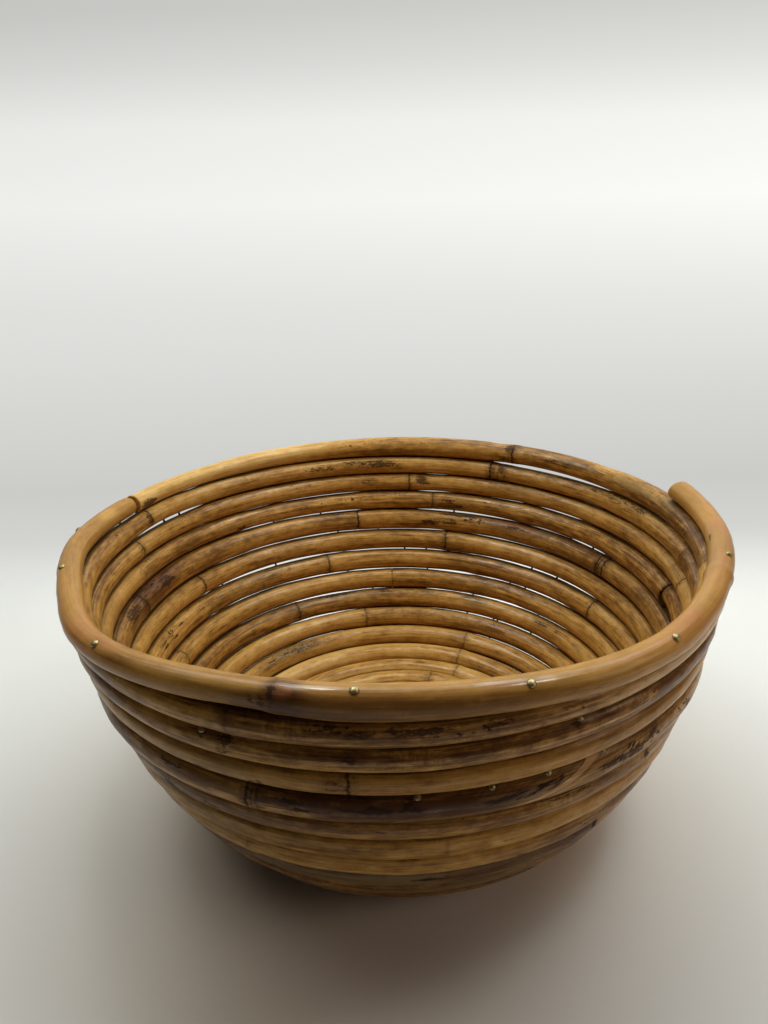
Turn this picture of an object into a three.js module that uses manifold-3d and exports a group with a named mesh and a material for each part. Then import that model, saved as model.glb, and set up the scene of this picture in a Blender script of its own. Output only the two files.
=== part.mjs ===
// Bowl-shaped basket coiled from rattan poles.
// One spiral runs from the free end on the rim down the wall and in to the eye of the base.
// It is made of several poles joined end to end, each turn nailed to the turn below.
// Brass pins have domed heads that show on the outside, and brads are hidden between the turns.
// Millimetres and degrees, +Z up, origin at the middle of the footprint.
import * as THREE from "three";
import { mergeVertices } from "three/addons/utils/BufferGeometryUtils.js";
import Module from "manifold-3d";

// Bowl outline, followed by the middle of the pole
const RIM_RADIUS = 160;
const BOWL_DEPTH = 152;
const RIM_FLARE = 7.5; // lean of the wall at the rim, from upright
const UPPER_WALL_RUN = 84; // how far the rim's direction carries down the wall
const LOWER_WALL_RUN = 38; // how far the foot's direction carries out into the wall
const FOOT_RADIUS = 81;
const FOOT_WIDTH = 24; // flat ring that stands on the table
const BASE_RISE = 4; // the middle of the base is raised by this much
const EYE_RADIUS = 7; // tightest bend, at the middle of the base

// Hand-made irregularity
const OVAL = 1.8; // added to the rim radius along its longest direction, and taken off across it
const OVAL_DIRECTION = 23;
const LEAN = 5.5; // the foot sits this far to +X of the rim

// Pole thickness along the coil
const RIM_THICKNESS = 13.4;
const UPPER_THICKNESS = 11.8;
const STOUT_THICKNESS = 15; // the dark poles that stand proud at the front of the fifth turn
const SLIM_THICKNESS = 12.4;
const LOWER_THICKNESS = 13.8;
const BASE_THICKNESS = 13;
const EYE_THICKNESS = 10.5;
const ROW_GAP = 0.75; // daylight between one turn and the next

// Coil
const START_ANGLE = 40; // where turns are counted from, on the rim
const STEPS = 28; // straight stretches in a turn
const SIDES = 8;
const FREE_END = 0.085; // turn at which the rim pole is sawn off
const END_ROUNDING = 3;
const ROUNDED_RADII = [0.62, 0.87]; // shares of the radius at a rounded end and a third of the way in
const END_STRAIGHT = 2; // least stretch between a pole's end rings and the next station
const JOINT_GAP = 0.3;
const SCARF_LENGTH = 24;
const FOOT_FLAT = 0.5; // worn off under the foot
const SLOPE_PROBE = 0.002; // share of the outline on each side of a point where its slope is read

// Pins and brads
const SHANK_DIAMETER = 1.3;
const POINT_LENGTH = 2.6;
const HEAD_DIAMETER = 3.4;
const HEAD_HEIGHT = 1.3;
const SHOULDER_DIAMETER = 2.7; // of the dome, where it turns from side to top
const SHOULDER_HEIGHT = 0.8;
const BRAD_HEAD_DIAMETER = 2;
const BRAD_HEAD_HEIGHT = 0.6;
const BRAD_SINK = 0.2; // a brad's head lies this deep in its pole
const PIN_CLEARANCE = 0.3;
const PIN_BITE = 2; // how far the point passes the middle of the pole below
const PIN_SIDES = 6;
const ROOM_SIDES = 5; // of the hole that a pin or brad goes in
const BRAD_PLACE = 90;
const JOINT_BRAD_OFFSET = 15; // from a joint to the brads on both sides of it

// Thickness changes at these turns
const THICKNESS = [
  [0, RIM_THICKNESS],
  [0.655, RIM_THICKNESS],
  [0.665, UPPER_THICKNESS],
  [3.75, UPPER_THICKNESS],
  [4.2, STOUT_THICKNESS],
  [4.55, STOUT_THICKNESS],
  [4.9, LOWER_THICKNESS],
  [5.1, LOWER_THICKNESS],
  [5.3, SLIM_THICKNESS],
  [5.55, SLIM_THICKNESS],
  [5.8, LOWER_THICKNESS],
  [7.6, LOWER_THICKNESS],
  [8.4, BASE_THICKNESS],
  [15, BASE_THICKNESS],
  [18, EYE_THICKNESS],
];

// Joints between poles, from the rim down, as turns
const JOINTS = [0.66, 1.666, 3.382, 3.894, 4.112, 4.304, 4.833, 7.858, 8.257, 10.287, 12.7];
const SCARF_JOINT_INDEX = 5; // this one is cut on the slant, and the others square
const POLE_NAMES = [
  "rim_pole",
  "upper_wall_pole_1",
  "upper_wall_pole_2",
  "middle_wall_pole_1",
  "middle_wall_pole_2",
  "middle_wall_pole_3",
  "middle_wall_pole_4",
  "middle_wall_pole_5",
  "lower_wall_pole_1",
  "lower_wall_pole_2",
  "lower_wall_pole_3",
  "base_pole",
];

// Pins of the rim and the wall, as turns with the place of the head round the pole, up from straight out
const RIM_PINS = [
  [0.112, 35],
  [0.179, 66],
  [0.253, 26],
  [0.317, 46],
  [0.376, 74],
  [0.483, 42],
  [0.558, 76],
  [0.615, 40],
];
const WALL_PINS = [
  [2.295, 39],
  [2.437, 43],
  [4.2825, 60],
  [4.307, 60],
  [4.328, 50],
  [4.357, 47],
  [8.409, 70],
];
// Brads between the turns, as turns
const ROW_BRADS = [1.695, 3.012, 3.964, 5.4, 5.71, 5.87, 5.978, 6.889, 7.994, 8.958, 9.3];

const RATTAN = { color: 0xa8783c, roughness: 0.42, metalness: 0 };
const BRASS = { color: 0xc9a35a, roughness: 0.3, metalness: 1 };
const STEEL = { color: 0x3c3835, roughness: 0.5, metalness: 1 };

const radians = THREE.MathUtils.degToRad;
const wasm = await Module();
wasm.setup();

// Piecewise straight value of [turn, value] points
function along(points, turn) {
  const next = points.findIndex(([at]) => at > turn);
  if (next === 0) return points[0][1];
  if (next < 0) return points[points.length - 1][1];
  const [t0, v0] = points[next - 1];
  const [t1, v1] = points[next];
  return THREE.MathUtils.mapLinear(turn, t0, t1, v0, v1);
}

// Outline from the rim to the middle of the base, as radius and height below the rim
const outline = new THREE.CurvePath();
const rimPoint = new THREE.Vector2(RIM_RADIUS, 0);
const footPoint = new THREE.Vector2(FOOT_RADIUS, -BOWL_DEPTH);
const footInside = new THREE.Vector2(FOOT_RADIUS - FOOT_WIDTH, -BOWL_DEPTH);
const flare = radians(RIM_FLARE);
outline.add(
  new THREE.CubicBezierCurve(
    rimPoint,
    new THREE.Vector2(-Math.sin(flare), -Math.cos(flare)).multiplyScalar(UPPER_WALL_RUN).add(rimPoint),
    new THREE.Vector2(LOWER_WALL_RUN, 0).add(footPoint),
    footPoint,
  ),
);
outline.add(new THREE.LineCurve(footPoint, footInside));
outline.add(
  new THREE.QuadraticBezierCurve(
    footInside,
    new THREE.Vector2(footInside.x / 2, -BOWL_DEPTH),
    new THREE.Vector2(0, -BOWL_DEPTH + BASE_RISE),
  ),
);
const outlineLength = outline.getLength();

// Distance down the outline at each step: a turn lies one pole and one gap below the turn before
const drop = [];
const thicknessAt = (turn) => along(THICKNESS, turn);
const firstDrop = (thicknessAt(0) + thicknessAt(1)) / 2 + ROW_GAP;
for (let i = 0; ; i += 1) {
  const above = i - STEPS;
  const next =
    above < 0
      ? (firstDrop * i) / STEPS
      : drop[above] + (thicknessAt(above / STEPS) + thicknessAt(i / STEPS)) / 2 + ROW_GAP;
  if (next > outlineLength - EYE_RADIUS) break;
  drop.push(next);
}
const EYE_END = (drop.length - 1) / STEPS;

// Frame of the pole at a whole step: middle, outward direction and the direction up the wall
function station(i) {
  const reach = drop[i] / outlineLength;
  const here = outline.getPoint(reach);
  const down = outline
    .getPoint(Math.min(1, reach + SLOPE_PROBE))
    .sub(outline.getPoint(Math.max(0, reach - SLOPE_PROBE)))
    .normalize();
  const angle = radians(START_ANGLE - (360 * i) / STEPS);
  const ray = new THREE.Vector3(Math.cos(angle), Math.sin(angle), 0);
  const oval = 1 + (OVAL / RIM_RADIUS) * Math.cos(2 * (angle - radians(OVAL_DIRECTION)));
  const middle = ray.clone().multiplyScalar(here.x * oval);
  middle.x += (LEAN * -here.y) / BOWL_DEPTH;
  middle.z = here.y;
  const up = ray.clone().multiplyScalar(-down.x).setZ(-down.y);
  const out = ray.clone().multiplyScalar(-down.y).setZ(down.x);
  return { middle, out, up, radius: thicknessAt(i / STEPS) / 2 };
}
const stations = drop.map((_, i) => station(i));

// The same frame anywhere on the coil, on the straight stretch between two steps
function frameAt(turn) {
  const at = THREE.MathUtils.clamp(turn, 0, EYE_END) * STEPS;
  const i = Math.min(Math.floor(at), stations.length - 2);
  const a = stations[i];
  const b = stations[i + 1];
  const mix = at - i;
  return {
    middle: a.middle.clone().lerp(b.middle, mix),
    out: a.out.clone().lerp(b.out, mix).normalize(),
    up: a.up.clone().lerp(b.up, mix).normalize(),
    radius: THREE.MathUtils.lerp(a.radius, b.radius, mix),
  };
}

// Point on the pole's skin, with the place round it counted from straight out towards straight up
function skin(turn, place, share = 1) {
  const { middle, out, up, radius } = frameAt(turn);
  return middle
    .addScaledVector(out, radius * share * Math.cos(radians(place)))
    .addScaledVector(up, radius * share * Math.sin(radians(place)));
}

const turnsFor = (length, turn) => {
  const { middle } = frameAt(turn);
  return length / (2 * Math.PI * Math.hypot(middle.x, middle.y));
};

// Ring of corners round the pole; a slant shifts the upper corners back towards the rim
function ring(turn, share = 1, slant = 0) {
  return Array.from({ length: SIDES }, (_, corner) => {
    const place = (360 * corner) / SIDES;
    return skin(turn - slant * Math.sin(radians(place)), place, share);
  });
}

// Closed solid through a list of rings, with a flat end at each side
function loft(rings) {
  const index = [];
  const last = (rings.length - 1) * SIDES;
  for (let r = 0; r + 1 < rings.length; r += 1) {
    for (let c = 0; c < SIDES; c += 1) {
      const a = r * SIDES + c;
      const b = r * SIDES + ((c + 1) % SIDES);
      index.push(a, b, a + SIDES, b, b + SIDES, a + SIDES);
    }
  }
  for (let c = 1; c + 1 < SIDES; c += 1) {
    index.push(0, c + 1, c);
    index.push(last, last + c, last + c + 1);
  }
  const geometry = new THREE.BufferGeometry();
  const places = rings.flat().flatMap((corner) => corner.toArray());
  geometry.setAttribute("position", new THREE.Float32BufferAttribute(places, 3));
  geometry.setIndex(index);
  return geometry;
}

// Rings at a pole's end, from the sawn face inwards; side is 1 at its start and -1 at its end
function endRings(turn, side, finish) {
  const half = turnsFor(JOINT_GAP / 2, turn) * side;
  if (finish === "scarf") return [ring(turn + half, 1, turnsFor(SCARF_LENGTH / 2, turn))];
  if (finish === "square") return [ring(turn + half)];
  const rounding = turnsFor(END_ROUNDING, turn) * side;
  return [
    ring(turn + half, ROUNDED_RADII[0]),
    ring(turn + half + rounding / 3, ROUNDED_RADII[1]),
    ring(turn + half + rounding),
  ];
}

function poleGeometry(start, end, startFinish, endFinish) {
  const margin = (finish) => (finish === "scarf" ? SCARF_LENGTH / 2 : END_ROUNDING) + END_STRAIGHT;
  const first = Math.ceil((start + turnsFor(margin(startFinish), start)) * STEPS);
  const last = Math.floor((end - turnsFor(margin(endFinish), end)) * STEPS);
  const rings = endRings(start, 1, startFinish);
  for (let i = first; i <= last; i += 1) rings.push(ring(i / STEPS));
  rings.push(...endRings(end, -1, endFinish).reverse());
  return loft(rings);
}

function solidOf(geometry) {
  const plain = geometry.clone();
  plain.deleteAttribute("normal");
  plain.deleteAttribute("uv");
  const merged = mergeVertices(plain, 1e-4);
  return new wasm.Manifold(
    new wasm.Mesh({
      numProp: 3,
      vertProperties: new Float32Array(merged.attributes.position.array),
      triVerts: new Uint32Array(merged.index.array),
    }),
  );
}

function geometryOf(solid) {
  const { vertProperties, triVerts } = solid.getMesh();
  const geometry = new THREE.BufferGeometry();
  geometry.setAttribute("position", new THREE.BufferAttribute(vertProperties, 3));
  geometry.setIndex(new THREE.BufferAttribute(triVerts, 1));
  geometry.computeVertexNormals();
  return geometry;
}

// Turned profile along +Y, moved so that +Y runs along a direction from a point
function turned(profile, sides, origin, direction) {
  const geometry = new THREE.LatheGeometry(
    profile.map(([x, y]) => new THREE.Vector2(x, y)),
    sides,
  );
  const turn = new THREE.Quaternion().setFromUnitVectors(new THREE.Vector3(0, 1, 0), direction);
  geometry.applyQuaternion(turn);
  geometry.translate(origin.x, origin.y, origin.z);
  return geometry;
}

// Profiles from the edge of the shank to the middle of the top, as radius and height over the skin
const DOMED_TOP = [
  [SHANK_DIAMETER / 2, 0],
  [HEAD_DIAMETER / 2, 0],
  [SHOULDER_DIAMETER / 2, SHOULDER_HEIGHT],
  [0, HEAD_HEIGHT],
];
const FLUSH_TOP = [
  [SHANK_DIAMETER / 2, -BRAD_SINK - 2 * BRAD_HEAD_HEIGHT],
  [BRAD_HEAD_DIAMETER / 2, -BRAD_SINK - BRAD_HEAD_HEIGHT],
  [BRAD_HEAD_DIAMETER / 2, -BRAD_SINK],
  [0, -BRAD_SINK],
];

// A pin or brad: its shank runs from a place on the skin into the pole one turn below
function nail(name, turn, place, top) {
  const seat = skin(turn, place);
  const inward = frameAt(turn + 1).middle.sub(seat);
  const length = inward.length() + PIN_BITE;
  const outward = inward.normalize().negate();
  const body = [[0, -length], [SHANK_DIAMETER / 2, POINT_LENGTH - length], ...top];
  const bore = SHANK_DIAMETER / 2 + PIN_CLEARANCE;
  const shoulder = top[0][1] - PIN_CLEARANCE;
  const widest = Math.max(...top.map(([radius]) => radius)) + PIN_CLEARANCE;
  const room = [
    [0, -length - PIN_CLEARANCE],
    [bore, -length - PIN_CLEARANCE],
    [bore, shoulder],
    [widest, shoulder],
    [widest, 2 * HEAD_HEIGHT],
    [0, 2 * HEAD_HEIGHT],
  ];
  return {
    name,
    turn,
    body: turned(body, PIN_SIDES, seat, outward),
    room: turned(room, ROOM_SIDES, seat, outward),
  };
}

const nails = [
  ...RIM_PINS.map(([turn, place], n) => nail(`rim_pin_${n + 1}`, turn, place, DOMED_TOP)),
  ...WALL_PINS.map(([turn, place], n) => nail(`wall_pin_${n + 1}`, turn, place, DOMED_TOP)),
  ...ROW_BRADS.map((turn, n) => nail(`row_brad_${n + 1}`, turn, BRAD_PLACE, FLUSH_TOP)),
  ...JOINTS.flatMap((joint, n) => {
    const offset = turnsFor(JOINT_BRAD_OFFSET, joint);
    return [
      nail(`joint_brad_${n + 1}_upper`, joint - offset, BRAD_PLACE, FLUSH_TOP),
      nail(`joint_brad_${n + 1}_lower`, joint + offset, BRAD_PLACE, FLUSH_TOP),
    ];
  }),
];

// Least gap between a turn and the turn below it, measured corner to corner
function leastRowGap() {
  let least = Infinity;
  for (let i = Math.ceil(FREE_END * STEPS); i + STEPS < stations.length; i += 1) {
    const lower = ring((i + STEPS) / STEPS);
    for (const corner of ring(i / STEPS)) {
      for (const other of lower) least = Math.min(least, corner.distanceTo(other));
    }
  }
  return least;
}
console.log(`least gap between turns ${leastRowGap().toFixed(2)} mm, ${EYE_END.toFixed(1)} turns`);

const poleSpans = POLE_NAMES.map((name, n) => {
  const start = n === 0 ? FREE_END : JOINTS[n - 1];
  const end = n === JOINTS.length ? EYE_END : JOINTS[n];
  const finishAt = (joint) => (joint === SCARF_JOINT_INDEX ? "scarf" : "square");
  // The rim pole is rounded over at both ends, and the last pole where it stops at the eye
  const finishes = [
    n === 0 ? "rounded" : finishAt(n - 1),
    n === 0 || n === JOINTS.length ? "rounded" : finishAt(n),
  ];
  return { name, start, end, geometry: poleGeometry(start, end, ...finishes) };
});

// The foot's underside is flat: everything below this height is worn away
const undersides = poleSpans.map(({ geometry }) => {
  geometry.computeBoundingBox();
  return geometry.boundingBox.min.z;
});
const floorHeight = Math.min(...undersides) + FOOT_FLAT;
const wornAway = new THREE.BoxGeometry(3 * RIM_RADIUS, 3 * RIM_RADIUS, RIM_RADIUS);
wornAway.translate(0, 0, floorHeight - RIM_RADIUS / 2);
const wornSolid = solidOf(wornAway);

const basket = new THREE.Group();
const model = new THREE.Group();
basket.add(model);

function addMesh(name, geometry, material) {
  const mesh = new THREE.Mesh(geometry, new THREE.MeshStandardMaterial(material));
  mesh.name = name;
  model.add(mesh);
}

for (const { name, start, end, geometry } of poleSpans) {
  let solid = solidOf(geometry);
  const reach = (at) => turnsFor(SCARF_LENGTH, at);
  const nailed = nails.filter(({ turn }) =>
    [turn, turn + 1].some((at) => at > start - reach(start) && at < end + reach(end)),
  );
  for (const { room } of nailed) solid = solid.subtract(solidOf(room));
  if (geometry.boundingBox.min.z < floorHeight) solid = solid.subtract(wornSolid);
  addMesh(name, geometryOf(solid), RATTAN);
}
for (const { name, body } of nails) addMesh(name, body, name.includes("pin") ? BRASS : STEEL);

// The origin is the middle of the footprint
const box = new THREE.Box3().setFromObject(model);
const centre = box.getCenter(new THREE.Vector3());
model.position.set(-centre.x, -centre.y, -box.min.z);

export default basket;
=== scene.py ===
"""Bowl-shaped basket coiled from rattan poles: visible pieces, finishes and studio."""

import math
from functools import partialmethod

import bpy
import numpy as np
from bpy.props import FloatProperty, FloatVectorProperty, IntProperty, PointerProperty
from bpy.types import Operator, Panel, PropertyGroup
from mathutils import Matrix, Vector


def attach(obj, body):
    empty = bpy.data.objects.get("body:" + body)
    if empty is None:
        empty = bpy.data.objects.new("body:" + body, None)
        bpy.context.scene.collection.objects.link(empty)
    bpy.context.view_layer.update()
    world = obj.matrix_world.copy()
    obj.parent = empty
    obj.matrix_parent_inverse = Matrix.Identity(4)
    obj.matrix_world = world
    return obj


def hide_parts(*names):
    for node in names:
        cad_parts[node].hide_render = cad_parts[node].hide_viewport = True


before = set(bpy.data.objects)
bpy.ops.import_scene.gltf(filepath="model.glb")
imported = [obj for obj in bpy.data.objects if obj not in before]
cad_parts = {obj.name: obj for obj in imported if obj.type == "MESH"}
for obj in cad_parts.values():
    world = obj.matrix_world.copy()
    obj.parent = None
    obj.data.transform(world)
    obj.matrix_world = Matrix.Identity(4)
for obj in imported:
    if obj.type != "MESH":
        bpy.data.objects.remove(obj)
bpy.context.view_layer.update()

bl_info = {
    "name": "Coiled Rattan Basket",
    "version": (1, 0, 0),
    "blender": (4, 5, 0),
    "location": "View3D > Sidebar > Basket",
    "description": "Builds the cane poles, pins and studio of a coiled rattan basket",
    "category": "Object",
}

MM = 0.001


def numbered(stem, count):
    """Names of like nodes, numbered from 1."""
    return [f"{stem}_{n + 1}" for n in range(count)]


# Bowl outline that the middle of the pole follows, in millimetres and degrees, as in the solids
RIM_RADIUS = 160
BOWL_DEPTH = 152
RIM_FLARE = 7.5
UPPER_WALL_RUN = 84
LOWER_WALL_RUN = 38
FOOT_RADIUS = 81
FOOT_WIDTH = 24
BASE_RISE = 4
EYE_RADIUS = 7
OVAL = 1.8
OVAL_DIRECTION = 23
LEAN = 5.5
ROW_GAP = 0.75
START_ANGLE = 40
AXIS_PLACE = (-0.82, 0.887, 158.0)  # the rim's middle in the part's frame
STEPS = 28  # stations in a turn
SLOPE_PROBE = 0.002  # share of the outline to both sides over which its slope is taken
WALL_POINTS = 2000
BASE_POINTS = 600
LENGTH_POINTS = 1500  # points in a turn between which the pole's length is added up

# Pole thickness by turn
THICKNESS = [
    (0, 13.4), (0.655, 13.4), (0.665, 11.8), (3.75, 11.8), (4.2, 15), (4.55, 15), (4.9, 13.8),
    (5.1, 13.8), (5.3, 12.4), (5.55, 12.4), (5.8, 13.8), (7.6, 13.8), (8.4, 13), (15, 13),
    (18, 10.5),
]

# Poles from the rim to the eye of the base, and the turn at which each ends on the next
POLES = [
    "rim_pole",
    *numbered("upper_wall_pole", 2),
    *numbered("middle_wall_pole", 5),
    *numbered("lower_wall_pole", 3),
    "base_pole",
]
JOINTS = [0.66, 1.666, 3.382, 3.894, 4.112, 4.31, 4.833, 7.858, 8.257, 10.287, 12.7]
JOINT_LINES = [0.15, 0.8, 0.9, 0.5, 0.6, 0, 0.9, 0.25, 0.9, 0.8, 0.5]  # how dark each joint shows
JOINT_GAP = 0.3  # at the ends of the first two poles
TIGHT_GAP = 0.06  # at the other joints
SCARF_JOINT = 4.31  # cut on the slant
SCARF_LENGTH = 52
SCARF_FADE = 1.6  # lengths of the cut over which the slant fades along the pole
SCARF_BEND = 3.7  # one over twice the pole's bending radius there, in metres
BARE_BAND = 8  # width of the bare wood at the slanted cut, in millimetres
SLIM_START = 4.112  # the pole that starts here is slimmer for a stretch
SLIM_TURNS = 0.07
SLIMMED = 0.2
FREE_END = 0.0835  # turn at which the rim pole is sawn off
FREE_END_SLANT = 2.2  # how far the free end is cut back at its top, in millimetres
FREE_END_FADE = 8
WAVERS = ((0.03, 0.23), (0.015, 0.08))  # how far in millimetres a pole strays in so many metres
END_FORMS = {  # depth of the rounding in millimetres, and the share of the radius left at the face
    "sawn": (0.5, 0.93),
    "free": (3.5, 0.66),
    "blunt": (2.2, 0.84),
    "eye": (3.2, 0.6),
}
# Distances from a growth ring and from a pole's end at which it has points, in millimetres
RING_SPOTS = (0, 0.35, 0.8, 1.5, 2.6, 4.0)
END_SPOTS = (0.12, 0.35, 0.8, 1.6, 2.8)
SPOT_MARGIN = 0.5
LEAST_SPOTS = 8
SEED = 100

# Bends of the two upper poles: turn, shift out and up in millimetres, share they are thinner by
BENDS = [
    (0.085, 0.8, 0.9, 0.1), (0.115, 0.8, 0, 0.14), (0.15, 0.6, 0, 0.14), (0.18, 0.5, -0.2, 0.14),
    (0.2, 1.1, -0.4, 0.15), (0.22, 2.4, -0.9, 0.16), (0.25, 4.1, -1.6, 0.15),
    (0.28, 3.9, -1.5, 0.14), (0.3, 2.9, -1.2, 0.12), (0.33, 1.2, -0.6, 0.08),
    (0.36, 0.3, -0.2, 0.03), (0.39, 0, 0, 0.02), (0.412, -1.6, -0.4, 0.19), (0.43, -1, -0.7, 0.16),
    (0.45, 0.4, -1, 0.15), (0.475, 2.4, -1.2, 0.18), (0.5, 3.2, -1.3, 0.18), (0.515, 2, -1.2, 0.17),
    (0.53, 0, -1, 0.16), (0.55, -1.4, -1, 0.15), (0.58, 0.3, -1, 0.14), (0.6, 2.2, -1, 0.13),
    (0.63, 2, -1, 0.16), (0.659, 1.4, -0.8, 0.18), (0.661, -0.3, -1, 0.18), (0.72, -0.3, -1, 0.18),
    (0.76, 0, -0.4, 0.07), (0.82, 0, 0, 0), (0.87, 0, 0.5, -0.08), (0.95, 0, 0.5, -0.08),
    (1, 0.3, 0.6, -0.08), (1.04, 1.2, 0.6, -0.1), (1.07, 1.8, 0.6, -0.11), (1.1, 1.4, 0.4, -0.06),
    (1.14, 0.5, 0.2, -0.02), (1.18, 0, 0, 0),
]
BEND_BLUR = 0.01  # turns to both sides over which a bend is evened out
BLUR_POINTS = 9
JOINT_MARGIN = 0.001  # turns from the first joint within which the bends aren't mixed

# Pins with domed heads: turn and place of the head round the pole, up from straight out
RIM_PINS = [
    (0.112, 345), (0.1763, 69), (0.2536, 64), (0.3171, 66), (0.3761, 80), (0.4843, 68),
    (0.5624, 73), (0.615, 40),
]
WALL_PINS = [
    (2.294, 62), (2.437, 57), (4.277, 68), (4.304, 67), (4.328, 65), (4.357, 63), (8.413, 66),
]
PIN_SQUARENESS = 1.5  # how strongly a pin turns square to its own pole, away from the turn below
# Flush brads between the turns, and thin nails that show only in the daylight
ROW_BRADS = [1.695, 3.012, 3.964, 5.4, 5.71, 5.87, 5.978, 6.889, 7.994, 8.958, 9.3]
THIN_NAILS = [
    0.9, 3.767, 3.805, 4.005, 4.025, 5.76, 5.819, 5.888, 6.001, 6.82, 6.962, 6.976, 7.931, 8.858,
    8.928, 8.954, 8.993, 9.028, 9.955, 10.96,
]
JOINT_BRAD_OFFSET = 15  # from a joint to the brads on both sides of it
BRAD_PLACE = 90
PIN_DEPTH = 9
BRAD_DEPTH = 20
WALL_PIN_SIZE = 0.85
# Share of the brass colour's brightness on the wall pins, which darkens them as painted shade
WALL_PIN_SHADED_BRIGHTNESS = 0.9
NAIL_SIDES = 20

# Daylight between a turn and the turn below: where it starts, is widest and ends, and its width
LIGHT_GAPS = [
    (0.934, 0.97, 1.036, 2.1), (1.641, 1.688, 1.718, 1.6), (1.95, 1.961, 1.97, 0.6),
    (2.885, 2.896, 2.908, 0.5), (2.972, 2.996, 3.028, 1), (3.738, 3.757, 3.772, 0.6),
    (3.765, 3.816, 3.84, 0.7), (3.878, 3.915, 3.966, 1.2), (3.998, 4.02, 4.056, 1.4),
    (4.94, 4.99, 5.02, 0.7), (5.682, 5.692, 5.7, 0.6), (5.698, 5.763, 5.82, 1.2),
    (5.815, 5.875, 5.912, 0.6), (5.925, 6, 6.068, 1.4), (6.782, 6.8, 6.81, 0.5),
    (6.82, 6.837, 6.856, 0.7), (6.884, 6.918, 6.932, 1.2), (6.958, 6.995, 7.036, 1.3),
    (7.76, 7.8, 7.83, 0.8), (7.888, 7.9, 7.928, 0.3), (7.926, 7.966, 7.986, 1.1),
    (7.98, 7.995, 8.035, 0.6), (8.755, 8.78, 8.812, 0.9), (8.9, 8.955, 9.03, 0.7),
    (9.93, 9.975, 10.06, 0.7), (10.93, 10.97, 11.03, 0.6),
]
CLOSED_GAP = -0.07  # pressed together where no daylight shows
GAP_BLUNTNESS = 2.2  # how suddenly a gap closes at its ends

# Growth rings: turn, darkness, swelling in millimetres
RINGS = [
    (0.191, 0, 0.55), (0.404, 0.4, 0.4), (0.954, 1, 0.3), (1.16, 0.6, 0.3), (1.423, 0.5, 0.2),
    (1.938, 1, 0.35), (1.949, 0.6, 0.2), (2.12, 0.6, 0.3), (2.429, 0.5, 0.2), (2.648, 0.9, 0.5),
    (2.876, 0.9, 0.3), (3.13, 0.8, 0.4), (3.64, 0.3, 0.2), (4.4195, 0.7, 0.2), (4.4238, 1, 0.4),
    (4.626, 1, 0.4), (5.038, 1, 0.4), (5.044, 1, 0.2), (5.243, 0.5, 0.3), (5.5, 0.5, 0.2),
    (5.689, 0.9, 0.3), (5.905, 0.9, 0.3), (6.12, 0.6, 0.3), (6.345, 0.3, 0.2), (6.803, 0.8, 0.3),
    (7.044, 0.9, 0.4), (7.44, 0.3, 0.2), (7.637, 0.7, 0.3), (8.12, 0.7, 0.3), (8.765, 0.8, 0.3),
    (9.12, 0.7, 0.3), (9.829, 0.7, 0.3), (10.6, 0.7, 0.3), (10.933, 0.6, 0.4), (11.35, 0.7, 0.3),
    (11.931, 0.6, 0.4), (12.25, 0.7, 0.3), (12.935, 0.6, 0.4), (13.5, 0.7, 0.3), (13.905, 0.6, 0.4),
    (14.5, 0.7, 0.3), (15.2, 0.8, 0.3), (16.1, 0.8, 0.3), (17.3, 0.8, 0.3),
]
RING_WIDTH = 3.5
GROOVE_WIDTH = 0.5
DENTS = 55.0  # in a metre

# Tone of the cane from a turn on, from -1 for dark brown to 1 for pale straw; partly painted shade,
# as the dark values at 1.05, 2.12, 4 and 8.257 also stand for less light there
TONES = [
    (0, 0), (0.191, 0.1), (0.297, 0), (0.404, -0.1), (0.532, -0.1), (0.66, 0.7), (0.82, -0.1),
    (0.954, -0.2), (1.05, -0.6), (1.16, 0.2), (1.292, -0.4), (1.423, -0.15), (1.666, 0.25),
    (1.938, -0.1), (2.03, -0.2), (2.12, -0.45), (2.326, -0.2), (2.429, -0.35), (2.54, -0.1),
    (2.648, 0.15), (2.762, -0.1), (2.876, 0.05), (3.256, -0.1), (3.382, -0.2), (3.511, -0.05),
    (3.64, -0.2), (3.767, 0), (3.894, -0.1), (4, -0.6), (4.208, -0.4), (4.31, -0.6), (4.36, -0.8),
    (4.423, -0.3), (4.529, -0.5), (4.626, -0.4), (4.729, -0.1), (4.833, 0.05), (4.936, -0.6),
    (5.038, -0.3), (5.243, -0.4), (5.372, -0.75), (5.5, -0.1), (5.689, 0), (6.013, -0.2), (6.12, 0),
    (6.574, -0.15), (6.803, 0.15), (6.923, -0.3), (7.044, 0), (7.176, -0.45), (7.308, 0),
    (7.858, -0.3), (7.989, 0.1), (8.12, 0), (8.257, -0.95), (8.511, -0.35), (8.883, 0),
    (9.002, 0.35), (9.12, -0.1), (9.238, -0.7), (9.356, -0.45), (9.593, 0.15), (9.829, -0.15),
    (10.05, 0), (10.287, -0.7), (10.5, 0), (10.65, 0.35), (10.822, -0.1), (10.933, 0.2), (11.15, 0),
    (11.65, 0.6), (11.815, 0.25), (12.1, 0.1),
]
QUICK_BLEND = 0.003  # turns to both sides over which the tone changes at a ring or a joint
SLOW_BLEND = 0.04  # and elsewhere
BREAK_REACH = 0.002  # turns from a ring or a joint within which a change belongs to it

# How strongly the grain shows by turn: the rim is smooth, and the darker stretches are rough
BARK = [
    (0.655, 0.38), (0.665, 0.9), (1.16, 1.2), (1.41, 1.3), (1.43, 1), (2.11, 1), (2.13, 1.25),
    (2.42, 1.25), (2.44, 1), (3.12, 1), (3.14, 0.65), (3.63, 0.65), (3.65, 1), (4.2, 1.3),
    (4.42, 1.3), (4.44, 1),
]

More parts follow.
